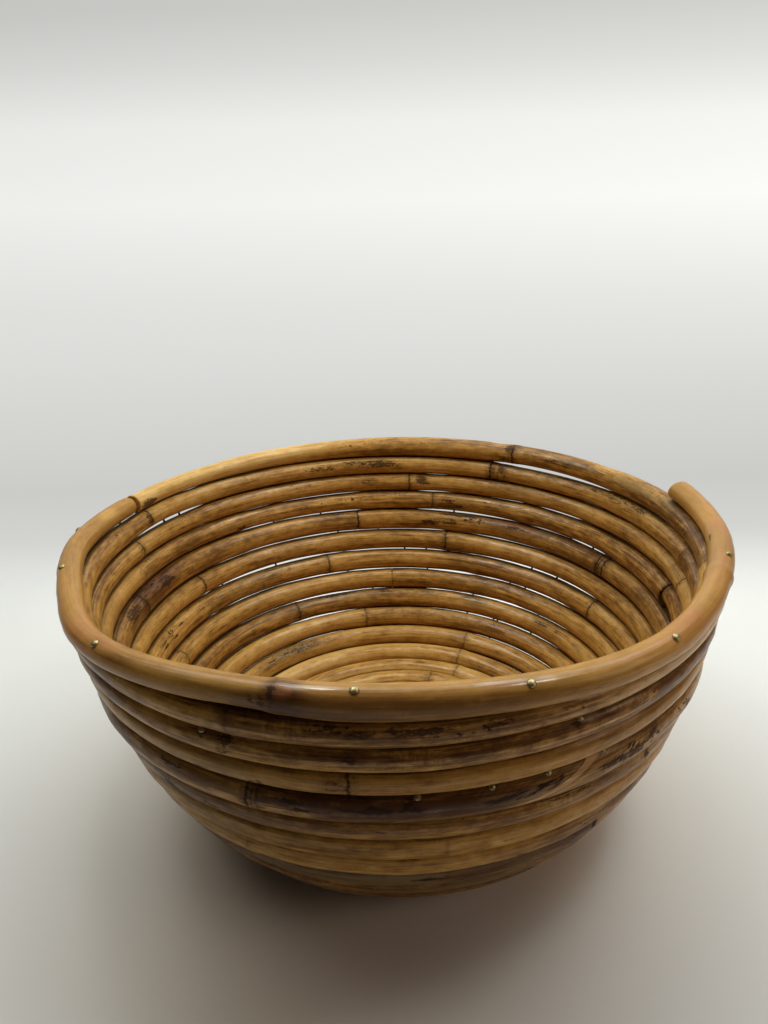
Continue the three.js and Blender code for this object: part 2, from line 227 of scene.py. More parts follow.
# Marks on the cane by kind: turn, place round the pole, length and width in millimetres, strength
MARKS = {
    "stain": [
        (0.1552, 154, 6.3, 2.1, 0.7), (0.236, 60, 1.9, 0.9, 1), (0.2397, 55, 5.1, 1.7, 0.5),
        (0.2574, 40, 5, 1.2, 0.4), (0.4041, 63, 4.5, 1.5, 0.7), (0.4045, 48, 2.2, 4.5, 0.9),
        (0.4076, 14, 4.5, 5.2, 0.6), (0.4115, 21, 3.8, 3.8, 0.6), (0.5235, 71, 2.8, 1.1, 0.4),
        (0.6529, 110, 5.1, 1.5, 0.7), (0.6685, 207, 16, 6, 1), (0.6729, 203, 5.3, 3.3, 1),
        (0.9479, 210, 14, 2.8, 0.8), (0.9512, 141, 9.1, 7.6, 0.8), (0.9889, 175, 26, 4.4, 0.5),
        (1.2684, 41, 3.3, 2.5, 0.4), (1.3025, 23, 7.8, 1.6, 0.5), (1.328, 31, 15, 2.3, 0.5),
        (1.352, 316, 15, 1.5, 0.7), (1.355, 34, 23, 3, 0.8), (1.3645, 39, 4.5, 3, 0.8),
        (1.375, 26, 15, 3, 0.8), (1.387, 43, 11, 3.8, 0.8), (1.6305, 137, 7.4, 3.1, 0.4),
        (1.6645, 170, 6.6, 7.9, 0.75), (1.809, 172, 31, 4.7, 0.6), (1.854, 169, 32, 5.6, 0.75),
        (1.9461, 155, 6.2, 7.7, 0.9), (2.02, 137, 17, 3.5, 0.5), (2.0364, 146, 6.9, 2.8, 0.5),
        (2.061, 134, 16, 3.9, 0.6), (2.0873, 118, 7.5, 5, 0.5), (2.2852, 33, 4.1, 1.2, 0.6),
        (2.2961, 46, 4.8, 2.4, 0.6), (2.3646, 51, 4.5, 1.9, 0.7), (2.38, 23, 6, 2.6, 0.8),
        (2.3802, 46, 6.6, 1.7, 0.8), (2.428, 344, 4.2, 3.5, 0.5), (2.4265, 40, 7, 9, 0.7),
        (2.4368, 39, 4.1, 4.9, 0.5), (2.842, 175, 9.6, 4, 0.5), (2.885, 159, 9.6, 9.6, 0.95),
        (2.89, 180, 6.4, 3.2, 0.8), (3.3277, 334, 7, 1.6, 0.8), (3.3864, 23, 5.4, 2, 0.6),
        (3.3875, 357, 7.5, 0.8, 0.95), (3.4159, 334, 3.5, 4.2, 0.95), (3.4198, 340, 4.2, 2.1, 0.9),
        (3.443, 344, 14, 1.8, 0.6), (3.738, 218, 9, 3.8, 0.8), (3.907, 172, 21, 2.2, 0.95),
        (3.9157, 208, 6.4, 2.2, 0.9), (4.2157, 20, 5.8, 3.9, 0.6), (4.253, 36, 11, 4.5, 0.8),
        (4.261, 16, 10, 3.4, 0.8), (4.271, 20, 25, 4.2, 0.7), (4.285, 25, 12, 3.3, 0.8),
        (4.313, 36, 4.8, 1.6, 0.9), (4.32, 38, 9.6, 2.4, 0.9), (4.335, 26, 14, 1.6, 0.95),
        (4.3616, 31, 7.1, 2.4, 0.8), (4.3662, 44, 4.2, 6.9, 0.9), (4.375, 28, 11, 4.2, 0.9),
        (4.386, 31, 10, 2.1, 0.7), (4.401, 15, 10, 2.8, 0.8), (4.405, 39, 14, 2.8, 0.7),
        (4.4575, 44, 4.5, 2.3, 0.9), (4.465, 36, 12, 1.9, 0.8), (4.5038, 21, 5.8, 1.4, 0.9),
        (4.608, 152, 21, 7.3, 0.85), (4.656, 157, 16, 8, 0.8), (4.822, 131, 14, 1.9, 0.6),
        (4.893, 188, 19, 5.6, 0.7), (4.909, 185, 13, 4.8, 0.8), (4.917, 131, 40, 2.9, 0.85),
        (4.963, 154, 23, 3.1, 0.6), (5.2432, 31, 4.5, 3.6, 0.9), (5.289, 39, 26, 2.5, 0.5),
        (5.373, 29, 11, 1, 0.6), (5.386, 21, 8.6, 1.4, 0.7), (5.4118, 344, 5.1, 1.2, 0.8),
        (5.449, 7, 15, 2.3, 0.5), (5.468, 340, 24, 4.8, 0.9), (5.474, 11, 12, 3.2, 0.8),
        (5.641, 83, 13, 6.6, 0.8), (6.2764, 350, 5.4, 2.7, 0.8), (6.419, 347, 8.4, 1.1, 0.7),
        (6.623, 159, 10, 5.1, 0.6), (6.6504, 154, 6.7, 2.7, 0.5), (7.308, 0, 8.9, 3.6, 0.6),
        (7.6355, 116, 6.6, 6.6, 0.5), (7.937, 149, 14, 0.9, 0.6), (7.948, 173, 25, 1.6, 0.4),
        (8.2561, 10, 3, 13, 1), (8.277, 5, 15, 2.8, 0.6), (8.336, 3, 9, 1.8, 0.6),
        (8.35, 25, 18, 1.8, 0.6), (8.4304, 347, 4.9, 1.8, 0.95), (8.433, 3, 9.9, 1.6, 0.5),
        (8.672, 134, 11, 2.8, 0.4), (8.804, 124, 40, 5.6, 0.6), (8.849, 134, 13, 4, 0.8),
        (8.885, 142, 14, 2.4, 0.5), (8.931, 139, 16, 4, 0.5), (9.003, 159, 12, 3.7, 0.6),
        (9.022, 160, 8.8, 1.8, 0.6), (9.374, 2, 11, 1.9, 0.6), (9.903, 131, 6.4, 3.2, 0.5),
        (9.9584, 155, 4.7, 6.2, 0.3), (10.2879, 358, 3, 5.9, 0.9), (10.715, 160, 8.9, 5.9, 0.5),
        (10.75, 160, 38, 6.9, 0.5),
    ],
    "blush": [
        (0.12, 60, 90, 30, 0.5), (0.19, 70, 110, 26, 0.65), (0.25, 70, 60, 20, 0.5),
        (0.5, 60, 80, 26, 0.6), (0.1472, 123, 16, 11, 0.7), (0.2364, 54, 17, 6.9, 0.6),
        (0.28, 76, 24, 3.1, 0.5), (0.3278, 71, 19, 3, 0.5), (0.4003, 61, 9, 6, 0.8),
        (0.5047, 112, 14, 5.3, 0.5), (0.5283, 41, 5.6, 3.8, 0.5), (0.5411, 71, 12, 4.9, 0.6),
        (0.6009, 91, 4.5, 2.8, 0.6), (0.6176, 92, 2.9, 2.3, 0.6), (4.65, 115, 26, 7.9, 0.7),
        (4.962, 142, 54, 11, 0.8),
    ],
    "shade": [
        (0.3521, 18, 4.4, 1.1, 0.7), (0.4005, 45, 16, 20, -0.6), (10.74, 160, 90, 10, -0.7),
        # (0.368, 15, 130, 15, -0.65) is painted shade on the lower outward face of the rim's front
        (0.368, 15, 130, 15, -0.65), (4.64, 140, 60, 22, -0.45), (0.391, 348, 59, 4.5, -0.6),
        (0.395, 46, 15, 5.9, -0.3), (0.4192, 58, 27, 4.6, 0.45), (0.4704, 49, 21, 5, -0.3),
        (0.6339, 134, 18, 7.3, 0.5), (1.0159, 166, 56, 11, -0.3), (1.662, 175, 16, 7.9, -0.3),
        (1.845, 172, 48, 9.5, -0.6), (2.2577, 31, 6.8, 2.6, 0.8), (2.339, 26, 53, 4.5, -0.5),
        (2.394, 33, 60, 3.3, -0.5), (3.388, 15, 14, 4.8, -0.3), (3.907, 200, 24, 6.4, -0.4),
        (4.282, 342, 42, 5, -0.3), (4.347, 28, 55, 7.9, -0.9), (4.394, 38, 56, 8.4, -0.9),
        (4.448, 34, 52, 5.9, -0.5), (4.496, 18, 24, 5.7, -0.7), (4.885, 206, 48, 9.7, -0.5),
        (5.468, 340, 40, 6.3, -0.8), (6.3223, 11, 5.1, 1.2, 0.8), (6.3846, 29, 1.5, 0.9, 0.7),
        (6.4262, 5, 1.1, 1.5, 0.8), (7.959, 180, 9.3, 1.9, 1), (7.9714, 227, 3.1, 2.2, 1),
        (9.3136, 11, 3.8, 1.1, 0.8),
    ],
    "flecks": [
        (0.275, 140, 15, 7.3, 1), (0.4, 20, 7, 7, 0.9), (0.48, 135, 15, 6.9, 0.8),
        (0.838, 161, 39, 4.7, 0.7), (1.11, 185, 24, 9.4, 0.9), (1.298, 13, 24, 2.4, 0.8),
        (1.315, 337, 23, 3.9, 0.8), (1.339, 21, 45, 4.5, 0.9), (1.382, 39, 38, 6, 0.9),
        (1.84, 155, 56, 7.9, 0.8), (2.046, 126, 47, 9.5, 0.9), (2.261, 36, 26, 2.5, 0.7),
        (2.792, 141, 41, 6.2, 0.6), (3.829, 167, 48, 6.4, 0.6), (3.947, 155, 47, 6.2, 0.6),
        (4.221, 28, 19, 5.7, 0.8), (4.249, 23, 18, 6.3, 1), (4.273, 31, 30, 10, 1),
        (4.321, 34, 40, 6.4, 1), (4.646, 133, 26, 9.2, 0.8), (4.817, 133, 19, 3.2, 0.7),
        (4.851, 136, 13, 2.3, 0.6), (4.922, 154, 56, 9.5, 0.8), (6.639, 160, 20, 11, 0.9),
        (6.678, 164, 42, 7, 0.6), (7.01, 191, 37, 7.4, 0.6), (7.035, 133, 8.6, 8.6, 0.9),
        (7.273, 15, 11, 5.5, 0.8),
    ],
    "gloss": [
        (0.303, 54, 10, 4, 0.8), (0.312, 65, 10, 4, 1), (0.322, 75, 11, 4, 1),
        (0.331, 81, 12, 4, 1), (0.391, 80, 24, 4, 1),
    ],
    "film": [
        (8.38, 8, 160, 12, 0.4), (9.36, 8, 160, 12, 0.4), (0.4203, 56, 23, 4.6, 0.4),
        (0.4424, 54, 20, 3.9, 0.5), (0.858, 162, 19, 4.7, 0.5), (0.9952, 156, 29, 5.8, 0.5),
        (1.046, 219, 54, 8.1, 0.4), (1.0541, 154, 53, 11, 0.7), (1.0878, 137, 31, 11, 0.5),
        (1.845, 159, 40, 6.3, 0.5), (2.343, 358, 45, 3, 0.5), (2.401, 357, 60, 2, 0.5),
        (2.795, 152, 31, 5.5, 0.4), (3.731, 183, 30, 5.9, 0.5), (3.976, 164, 61, 7.6, 0.3),
        (4.283, 7, 21, 3.3, 0.6), (4.347, 352, 39, 2.4, 0.4), (4.394, 324, 42, 2.1, 0.4),
        (6.416, 355, 11, 2.3, 0.6), (8.293, 18, 24, 5.6, 1), (8.366, 25, 36, 5.4, 0.8),
        (8.392, 11, 48, 6.4, 0.6), (8.433, 11, 25, 3.3, 0.8), (8.651, 118, 22, 11, 0.4),
        (8.807, 121, 56, 8, 0.7), (8.892, 152, 22, 4, 0.8), (8.936, 157, 24, 9.5, 1),
        (8.978, 146, 12, 6.1, 0.9), (9.002, 149, 22, 6.7, 1), (9.021, 151, 12, 2.9, 1),
        (9.049, 167, 13, 7.1, 0.6), (9.344, 5, 56, 7.4, 0.4), (9.909, 139, 32, 6.4, 0.6),
        (9.943, 139, 12, 4.7, 0.5), (10.742, 160, 46, 9.1, 0.8),
    ],
}
MARK_CORE = 0.35  # share of a mark's half width that has its full strength
MARK_FADE = 0.95  # and the share over which it fades

CAMERA_PLACE = (-4.39, -374.95, 307.44)
CAMERA_PITCH = 21.59
CAMERA_ROLL = -1.43

BACKDROP_FOOT = 0.30  # where the sweep leaves the floor, behind the basket
BACKDROP_BEND = 0.15
BEND_STEPS = 16
BACKDROP_TOP = 1.3
FLOOR_FRONT = -1.5
FLOOR_SIDE = 2.0
# Brightness of the backdrop in the camera by distance along the floor and up the wall
BACKDROP_LIGHT = [
    (0.1, 233), (0.2, 232), (0.28, 222), (0.34, 211), (0.43, 203), (0.555, 214), (0.667, 228),
    (0.763, 245), (0.834, 239), (0.884, 218), (0.927, 203), (1.1, 190),
]

# Softboxes: place, size and aim in metres, power in watts, colour
SOFTBOXES = {
    "back softbox": ((0.05, 0.18, 0.7), (1.0, 0.3), (0.05, 0.1, 0), 4.4, (0.88, 0.97, 1)),
    "left softbox": ((-0.35, 0, 0.6), (0.3, 0.3), (0, 0, 0.06), 0.78, (1, 0.9, 0.74)),
    "right softbox": ((0.38, 0, 0.6), (0.3, 0.3), (0, 0, 0.06), 0.68, (1, 0.97, 0.87)),
    "warm softbox": ((0.87, -0.42, 0.5), (0.4, 0.4), (0, 0, 0.06), 1.35, (1, 0.75, 0.58)),
    "front softbox": ((0, -0.9, 0.25), (0.9, 0.3), (0, 0, 0.08), 0.04, (1, 0.93, 0.85)),
    "right spark": ((0.3, -0.13, 0.72), (0.1, 0.1), (0.05, -0.155, 0.16), 0.36, (1, 0.98, 0.94)),
    "left spark": ((-0.16, 0.05, 0.72), (0.08, 0.06), (-0.045, -0.157, 0.16), 0.3, (1, 0.98, 0.94)),
}


def srgb(red, green, blue):
    """Linear colour of a display colour from 0 to 255."""
    shares = (channel / 255 for channel in (red, green, blue))
    return tuple(s / 12.92 if s <= 0.04045 else ((s + 0.055) / 1.055) ** 2.4 for s in shares)


def a_length(name, text, millimetres):
    return FloatProperty(name=name, description=text, default=millimetres * MM, unit="LENGTH")


def a_colour(name, text, *display):
    colour = srgb(*display)
    return FloatVectorProperty(name=name, description=text, default=colour, subtype="COLOR")


class CaneSettings(PropertyGroup):
    """Sizes and colours of the cane poles."""

    sides: IntProperty(name="Sides", description="Faces round a pole", default=28, min=8, max=64)
    spacing: a_length("Spacing", "Distance between rings of points along a pole", 2)
    swelling: a_length("Ring swelling", "How far a growth ring of size one stands proud", 1)
    groove: a_length("Ring groove", "Depth of the scar at a growth ring", 0.2)
    wobble: a_length("Unevenness", "Depth of the dents and flats of a natural pole", 0.9)
    stained: a_colour("Stained cane", "Colour where the stain lies thick", 76, 43, 17)
    brown: a_colour("Brown cane", "Colour of the darker streaks", 123, 83, 37)
    honey: a_colour("Honey cane", "Usual colour of the varnished cane", 183, 135, 64)
    straw: a_colour("Straw cane", "Colour where the cane is palest", 214, 174, 104)
    # This colour also serves the painted shade in the crevices between the turns.
    scar_and_crevice_shade: a_colour("Scars", "Colour of growth rings, smudges and crevices", 42, 22, 11)
    blush: a_colour("Blush", "Pink tint of some stretches", 176, 112, 76)
    film: a_colour("Film", "Grey green tint of skin left on the cane", 124, 102, 58)
    bare: a_colour("Bare wood", "Colour of the wood at the slanted cut", 214, 170, 118)


class PinSettings(PropertyGroup):
    """Sizes and colours of the pins and brads."""

    head: a_length("Head", "Diameter of a pin's head", 3.4)
    dome: a_length("Dome", "Height of a pin's head", 1.05)
    shank: a_length("Shank", "Diameter of a pin's shank", 1.3)
    brass: a_colour("Brass", "Colour of the brass pins", 170, 156, 112)
    steel: a_colour("Steel", "Colour of the brads", 70, 62, 56)


class StageSettings(PropertyGroup):
    """Floor, lamps and camera."""

    floor: a_colour("Floor", "Colour of the floor", 239, 238, 234)
    lamp: FloatProperty(name="Lamps", description="Share of the softboxes' power", default=1)
    ambient: FloatProperty(
        name="Room light", description="Strength of the light from all round", default=0.01
    )
    focal: FloatProperty(
        name="Focal length",
        description="Lens of the camera on a 36 mm sensor",
        default=36.19,
        subtype="DISTANCE_CAMERA",
    )


def along(points, turns):
    """Piecewise straight values of (turn, value) points."""
    places, values = zip(*points)
    return np.interp(turns, places, values)


def smooth(value):
    """0 below 0, 1 above 1 and a smooth rise between them."""
    value = np.clip(value, 0, 1)
    return value * value * (3 - 2 * value)


def bezier(points, count):
    """Points on a Bezier curve of any degree."""
    share = np.linspace(0, 1, count)[:, None]
    degree = len(points) - 1
    return sum(
        math.comb(degree, i) * share**i * (1 - share) ** (degree - i) * np.array(p, float)
        for i, p in enumerate(points)
    )


def distances(points):
    """How far each point lies along the line that the points make."""
    steps = np.linalg.norm(np.diff(points, axis=0), axis=1)
    return np.concatenate([[0], np.cumsum(steps)])


class Coil:
    """The spiral that every pole follows: its middle, frame and radius at any turn, in metres."""

    def __init__(self):
        flare = math.radians(RIM_FLARE)
        below_rim = (
            RIM_RADIUS - math.sin(flare) * UPPER_WALL_RUN,
            -math.cos(flare) * UPPER_WALL_RUN,
        )
        above_foot = (FOOT_RADIUS + LOWER_WALL_RUN, -BOWL_DEPTH)
        foot = (FOOT_RADIUS, -BOWL_DEPTH)
        wall = bezier([(RIM_RADIUS, 0), below_rim, above_foot, foot], WALL_POINTS)
        inner = FOOT_RADIUS - FOOT_WIDTH
        rise = (0, BASE_RISE - BOWL_DEPTH)
        base = bezier([(inner, -BOWL_DEPTH), (inner / 2, -BOWL_DEPTH), rise], BASE_POINTS)
        self.outline = np.concatenate([wall, base])
        self.reach = distances(self.outline)
        self.drop = self.drops()
        self.end = (len(self.drop) - 1) / STEPS
        self.turns = np.linspace(0, self.end, int(self.end * LENGTH_POINTS))
        self.lengths = distances(self.frame(self.turns)["middle"])

    def drops(self):
        """Distance down the outline at each station: each turn lies a pole and a gap lower."""

        def thickness(station):
            return along(THICKNESS, station / STEPS)

        drop = []
        first = (thickness(0) + thickness(STEPS)) / 2 + ROW_GAP
        while True:
            i = len(drop)
            above = i - STEPS
            if above < 0:
                next_drop = first * i / STEPS
            else:
                next_drop = drop[above] + (thickness(above) + thickness(i)) / 2 + ROW_GAP
            if next_drop > self.reach[-1] - EYE_RADIUS:
                return np.array(drop)
            drop.append(next_drop)

    def outline_at(self, reach):
        return np.stack([np.interp(reach, self.reach, self.outline[:, i]) for i in (0, 1)], 1)

    def frame(self, turns, shift=0.0):
        """Middle, directions and radius at turns, with the middle shifted up in millimetres."""
        turns = np.atleast_1d(np.asarray(turns, float))
        reach = np.interp(turns * STEPS, np.arange(len(self.drop)), self.drop)
        here = self.outline_at(reach)
        probe = SLOPE_PROBE * self.reach[-1]
        down = self.outline_at(reach + probe) - self.outline_at(reach - probe)
        down /= np.linalg.norm(down, axis=1)[:, None]
        angle = np.radians(START_ANGLE - 360 * turns)
        ray = np.stack([np.cos(angle), np.sin(angle), 0 * angle], 1)
        oval = 1 + (OVAL / RIM_RADIUS) * np.cos(2 * (angle - math.radians(OVAL_DIRECTION)))
        middle = ray * (here[:, 0] * oval)[:, None]
        middle[:, 0] -= LEAN * here[:, 1] / BOWL_DEPTH
        middle[:, 2] = here[:, 1]
        up = ray * -down[:, :1]
        up[:, 2] = -down[:, 1]
        out = ray * -down[:, 1:]
        out[:, 2] = down[:, 0]
        middle = (middle + np.array(AXIS_PLACE) + up * np.reshape(shift, (-1, 1))) * MM
        return {"middle": middle, "out": out, "up": up, "radius": along(THICKNESS, turns) * MM / 2}

    def length_at(self, turns):
        return np.interp(turns, self.turns, self.lengths)

    def turn_at(self, lengths):
        return np.interp(lengths, self.lengths, self.turns)


coil = Coil()


def toned(turns):
    """Tone of the cane at turns, partly painted shade: it changes at once at rings and joints, and
    slowly elsewhere.
    """
    breaks = np.array([ring[0] for ring in RINGS] + JOINTS)
    tone = np.full(len(turns), float(TONES[0][1]))
    for (_, before), (turn, after) in zip(TONES, TONES[1:]):
        blend = QUICK_BLEND if np.abs(breaks - turn).min() < BREAK_REACH else SLOW_BLEND
        tone = tone + (after - before) * smooth((turns - turn) / (2 * blend) + 0.5)
    return tone


def daylight(turns):
    """Width of the gap under each turn, in millimetres."""
    width = np.full(len(turns), CLOSED_GAP)
    for first, widest, last, wide in LIGHT_GAPS:
        side = np.where(turns < widest, widest - first, last - widest)
        opening = 1 - np.clip(np.abs(turns - widest) / side, 0, 1) ** GAP_BLUNTNESS
        width = np.maximum(width, CLOSED_GAP + (wide - CLOSED_GAP) * opening)
    return width


def settled(turns):
    """Shift up the wall and added radius that leave the stated daylight between the turns."""
    below = daylight(turns)
    above = np.where(turns >= 1, daylight(turns - 1), CLOSED_GAP)
    swell = (ROW_GAP - np.minimum(np.maximum(below, above), ROW_GAP)) / 2
    shift = (np.maximum(below - ROW_GAP, 0) - np.maximum(above - ROW_GAP, 0)) / 2
    # The rim pole keeps its thickness and sits down on the turn below instead
    rim = turns < JOINTS[0]
    return np.where(rim, shift - swell, shift), np.where(rim, 0, swell)


def bent_frame(turns, shift):
    """The coil's frame at turns with its bends aside, and the share left of the radius."""
    places, *columns = np.array(BENDS).T
    here = np.asarray(turns)[:, None]
    reach = here + np.linspace(-BEND_BLUR, BEND_BLUR, BLUR_POINTS)
    before = np.minimum(reach, JOINTS[0] - JOINT_MARGIN)
    after = np.maximum(reach, JOINTS[0] + JOINT_MARGIN)
    reach = np.where(here < JOINTS[0], before, after)
    out, up, thinner = (np.interp(reach, places, column).mean(1) for column in columns)
    line = coil.frame(turns, shift)
    line["middle"] += line["out"] * out[:, None] * MM + line["up"] * up[:, None] * MM
    return line, 1 - thinner


def section_turns(start, end, spacing):
    """Turns at which a pole has points: evenly spaced, and closer at growth rings and ends."""
    first, last = coil.length_at(start), coil.length_at(end)
    count = max(LEAST_SPOTS, int((last - first) / spacing))
    spots = list(np.linspace(first, last, count))
    close = np.array(RING_SPOTS) * MM
    for ring in RINGS:
        if start < ring[0] < end:
            at = coil.length_at(ring[0])
            spots = [s for s in spots if abs(s - at) > close[-1] + SPOT_MARGIN * MM]
            spots += list(at + close) + list(at - close[1:])
    ends = np.array(END_SPOTS) * MM
    spots = [s for s in spots if first + ends[-1] < s < last - ends[-1]]
    spots += [first, last] + list(first + ends) + list(last - ends)
    return coil.turn_at(np.array(sorted(spots)))


def end_shares(distance, form):
    """Share of the radius at a distance from a pole's end."""
    depth, least = END_FORMS[form]
    x = np.clip(distance / (depth * MM), 0, 1)
    return least + (1 - least) * np.sqrt(1 - (1 - x) ** 2)


def pole_line(name, spacing):
    """The line that a pole follows, as points with the values that its sweep needs."""
    n = POLES.index(name)
    is_rim, is_eye = n == 0, n == len(JOINTS)
    gap = (JOINT_GAP if n < 2 else TIGHT_GAP) * MM / 2
    start = FREE_END if is_rim else JOINTS[n - 1]
    end = coil.end if is_eye else JOINTS[n]
    first = coil.length_at(start) + (0 if is_rim else gap)
    last = coil.length_at(end) - (0 if is_eye else gap)
    turns = section_turns(coil.turn_at(first), coil.turn_at(last), spacing)
    lengths = coil.length_at(turns)
    to_start, to_end = lengths - first, last - lengths
    shift, swell = settled(turns)
    rng = np.random.default_rng(SEED + n)
    for size, reach in WAVERS:
        phase = rng.uniform(0, 2 * math.pi)
        shift = shift + size * np.sin(lengths / reach * 2 * math.pi + phase)
    line, left = bent_frame(turns, shift)
    shares = end_shares(to_start, "free" if is_rim else "sawn") * left
    shares *= end_shares(to_end, "blunt" if is_rim else "eye" if is_eye else "sawn")
    # The short pole set in at the right is slimmer where it starts, and keeps to its top
    slim = np.where(turns > SLIM_START, 1 - smooth((turns - SLIM_START) / SLIM_TURNS), 0)
    shares *= 1 - SLIMMED * slim
    radius = line.pop("radius")
    line["middle"] += line["up"] * (SLIMMED * slim * radius)[:, None]
    rings = RINGS + [(joint, dark, 0) for joint, dark in zip(JOINTS, JOINT_LINES) if dark]
    places, darkness, sizes = (np.array(column) for column in zip(*rings))
    offsets = lengths[:, None] - coil.length_at(places)[None]
    nearest = np.abs(offsets).argmin(1)
    slant = np.zeros(len(turns))
    scarf = SCARF_LENGTH * MM
    for joint, distance in ((start, to_start), (end, to_end)):
        if joint == SCARF_JOINT:
            slant -= scarf / 2 * (1 - smooth(distance / (scarf * SCARF_FADE)))
    if is_rim:
        cut = FREE_END_SLANT * MM
        slant += cut * (1 - smooth(to_start / (FREE_END_FADE * cut)))
    ahead = np.gradient(line["middle"], axis=0)
    return line | {
        "pole_radius": (radius + swell * MM) * shares,
        "ring_offset": offsets[np.arange(len(lengths)), nearest],
        "ring_dark": darkness[nearest],
        "ring_size": sizes[nearest],
        "turn": turns,
        "length": lengths,
        "slant": slant,
        "ahead": ahead / np.linalg.norm(ahead, axis=1)[:, None],
    }


class Socket:
    """A node's output in a Python expression: arithmetic on it adds Math nodes."""

    def __init__(self, graph, socket):
        self.graph = graph
        self.socket = socket

    def math(self, operation, *others):
        return self.graph.math(operation, self, *others)

    def reflected(self, operation, other):
        return self.graph.math(operation, other, self)

    __add__ = __radd__ = partialmethod(math, "ADD")
    __sub__ = partialmethod(math, "SUBTRACT")
    __rsub__ = partialmethod(reflected, "SUBTRACT")
    __mul__ = __rmul__ = partialmethod(math, "MULTIPLY")
    __truediv__ = partialmethod(math, "DIVIDE")
    __rtruediv__ = partialmethod(reflected, "DIVIDE")
    __pow__ = partialmethod(math, "POWER")
    __abs__ = partialmethod(math, "ABSOLUTE")
    least = partialmethod(math, "MINIMUM")
    most = partialmethod(math, "MAXIMUM")

    def between(self, low, high):
        """0 below low, 1 above high and a smooth rise between them; low may be the larger."""
        return self.graph.value(
            "ShaderNodeMapRange",
            {"interpolation_type": "SMOOTHSTEP"},
            {"Value": self, "From Min": low, "From Max": high},
        )


class Graph:
    """A node tree that is written with expressions."""

    def __init__(self, tree):
        self.tree = tree

    def feed(self, socket, value):
        if isinstance(value, Socket):
            self.tree.links.new(value.socket, socket)
        elif socket.type == "RGBA":
            socket.default_value = (*value, 1.0)
        else:
            socket.default_value = value

    def node(self, kind, settings=None, inputs=None):
        """Adds a node, with its settings first and then the values or links of its sockets."""
        made = self.tree.nodes.new(kind)
        for name, value in (settings or {}).items():
            if name == "stops":
                ramp = made.color_ramp
                while len(ramp.elements) < len(value):
                    ramp.elements.new(0.5)
                for element, (place, colour) in zip(ramp.elements, value):
                    element.position = place
                    element.color = (*colour, 1.0)
            else:
                setattr(made, name, value)
        for name, value in (inputs or {}).items():
            self.feed(made.inputs[name], value)
        return made

    def value(self, kind, settings=None, inputs=None, output=0):
        return Socket(self, self.node(kind, settings, inputs).outputs[output])

    def math(self, operation, *values):
        return self.value("ShaderNodeMath", {"operation": operation}, dict(enumerate(values)))

    def vector(self, operation, *values, output=0):
        settings = {"operation": operation}
        return self.value("ShaderNodeVectorMath", settings, dict(enumerate(values)), output)

    def scaled(self, vector, factor):
        inputs = {0: vector, "Scale": factor}
        return self.value("ShaderNodeVectorMath", {"operation": "SCALE"}, inputs)

    def mix(self, factor, first, second):
        """Colour between two colours."""
        inputs = {0: factor, 6: first, 7: second}
        return self.value("ShaderNodeMix", {"data_type": "RGBA"}, inputs, 2)

    def blend(self, factor, first, second):
        """Shader between two shaders."""
        return self.value("ShaderNodeMixShader", {}, {0: factor, 1: first, 2: second})

    def noise(self, vector, scale, detail=2.0, roughness=0.5):
        inputs = {"Vector": vector, "Scale": scale, "Detail": detail, "Roughness": roughness}
        return self.value("ShaderNodeTexNoise", {}, inputs)

    def bump(self, strength, millimetres, height):
        inputs = {"Strength": strength, "Distance": millimetres * MM, "Height": height}
        return self.value("ShaderNodeBump", {}, inputs)

    def attribute(self, name, output="Fac"):
        return self.value("ShaderNodeAttribute", {"attribute_name": name}, {}, output)


def blank_graph(owner):
    """The emptied node tree of a material or a world."""
    owner.use_nodes = True
    owner.node_tree.nodes.clear()
    return Graph(owner.node_tree)


class GeometryTree(Graph):
    """A geometry node group with named inputs, ending in Realize Instances and Set Material."""

    def __init__(self, name, inputs):
        super().__init__(bpy.data.node_groups.new(name, "GeometryNodeTree"))
        face = self.tree.interface
        face.new_socket("Geometry", in_out="INPUT", socket_type="NodeSocketGeometry")
        for label, kind in inputs.items():
            face.new_socket(label, in_out="INPUT", socket_type="NodeSocket" + kind)
        face.new_socket("Geometry", in_out="OUTPUT", socket_type="NodeSocketGeometry")
        self.entry = self.tree.nodes.new("NodeGroupInput")

    def given(self, label):
        return Socket(self, self.entry.outputs[label])

    def named(self, name, kind="FLOAT"):
        return self.value("GeometryNodeInputNamedAttribute", {"data_type": kind}, {"Name": name})

    def named_vector(self, name):
        return self.named(name, "FLOAT_VECTOR")

    def end(self, geometry):
        real = self.value("GeometryNodeRealizeInstances", {}, {"Geometry": geometry})
        inputs = {"Geometry": real, "Material": self.given("Material")}
        painted = self.value("GeometryNodeSetMaterial", {}, inputs)
        self.node("NodeGroupOutput", {}, {"Geometry": painted})
        return self.tree


def placed(name, data):
    """An object at the origin of the scene."""
    made = bpy.data.objects.new(name, data)
    bpy.context.scene.collection.objects.link(made)
    return made


def baked(source, tree, inputs, name):
    """Runs a geometry node group on an object and keeps the result as a plain mesh object."""
    modifier = source.modifiers.new("Shape", "NODES")
    modifier.node_group = tree
    labels = {s.name: s.identifier for s in tree.interface.items_tree if s.in_out == "INPUT"}
    for label, value in inputs.items():
        modifier[labels[label]] = value
    graph = bpy.context.evaluated_depsgraph_get()
    mesh = bpy.data.meshes.new_from_object(source.evaluated_get(graph))
    if not mesh.polygons:
        raise RuntimeError(f"{name} came out without faces")
    source.modifiers.remove(modifier)
    mesh.name = name
    piece = placed(name, mesh)
    bpy.data.objects.remove(source)
    return piece


def read(mesh, name):
    values = np.zeros(len(mesh.vertices), np.float32)
    mesh.attributes[name].data.foreach_get("value", values)
    return values


def read_vectors(data, field):
    values = np.zeros(len(data) * 3, np.float32)
    data.foreach_get(field, values)
    return values.reshape(-1, 3)


def write(mesh, name, numbers):
    numbers = np.asarray(numbers, np.float32)
    kind, field = ("FLOAT_VECTOR", "vector") if numbers.ndim == 2 else ("FLOAT", "value")
    mesh.attributes.new(name, kind, "POINT").data.foreach_set(field, numbers.ravel())


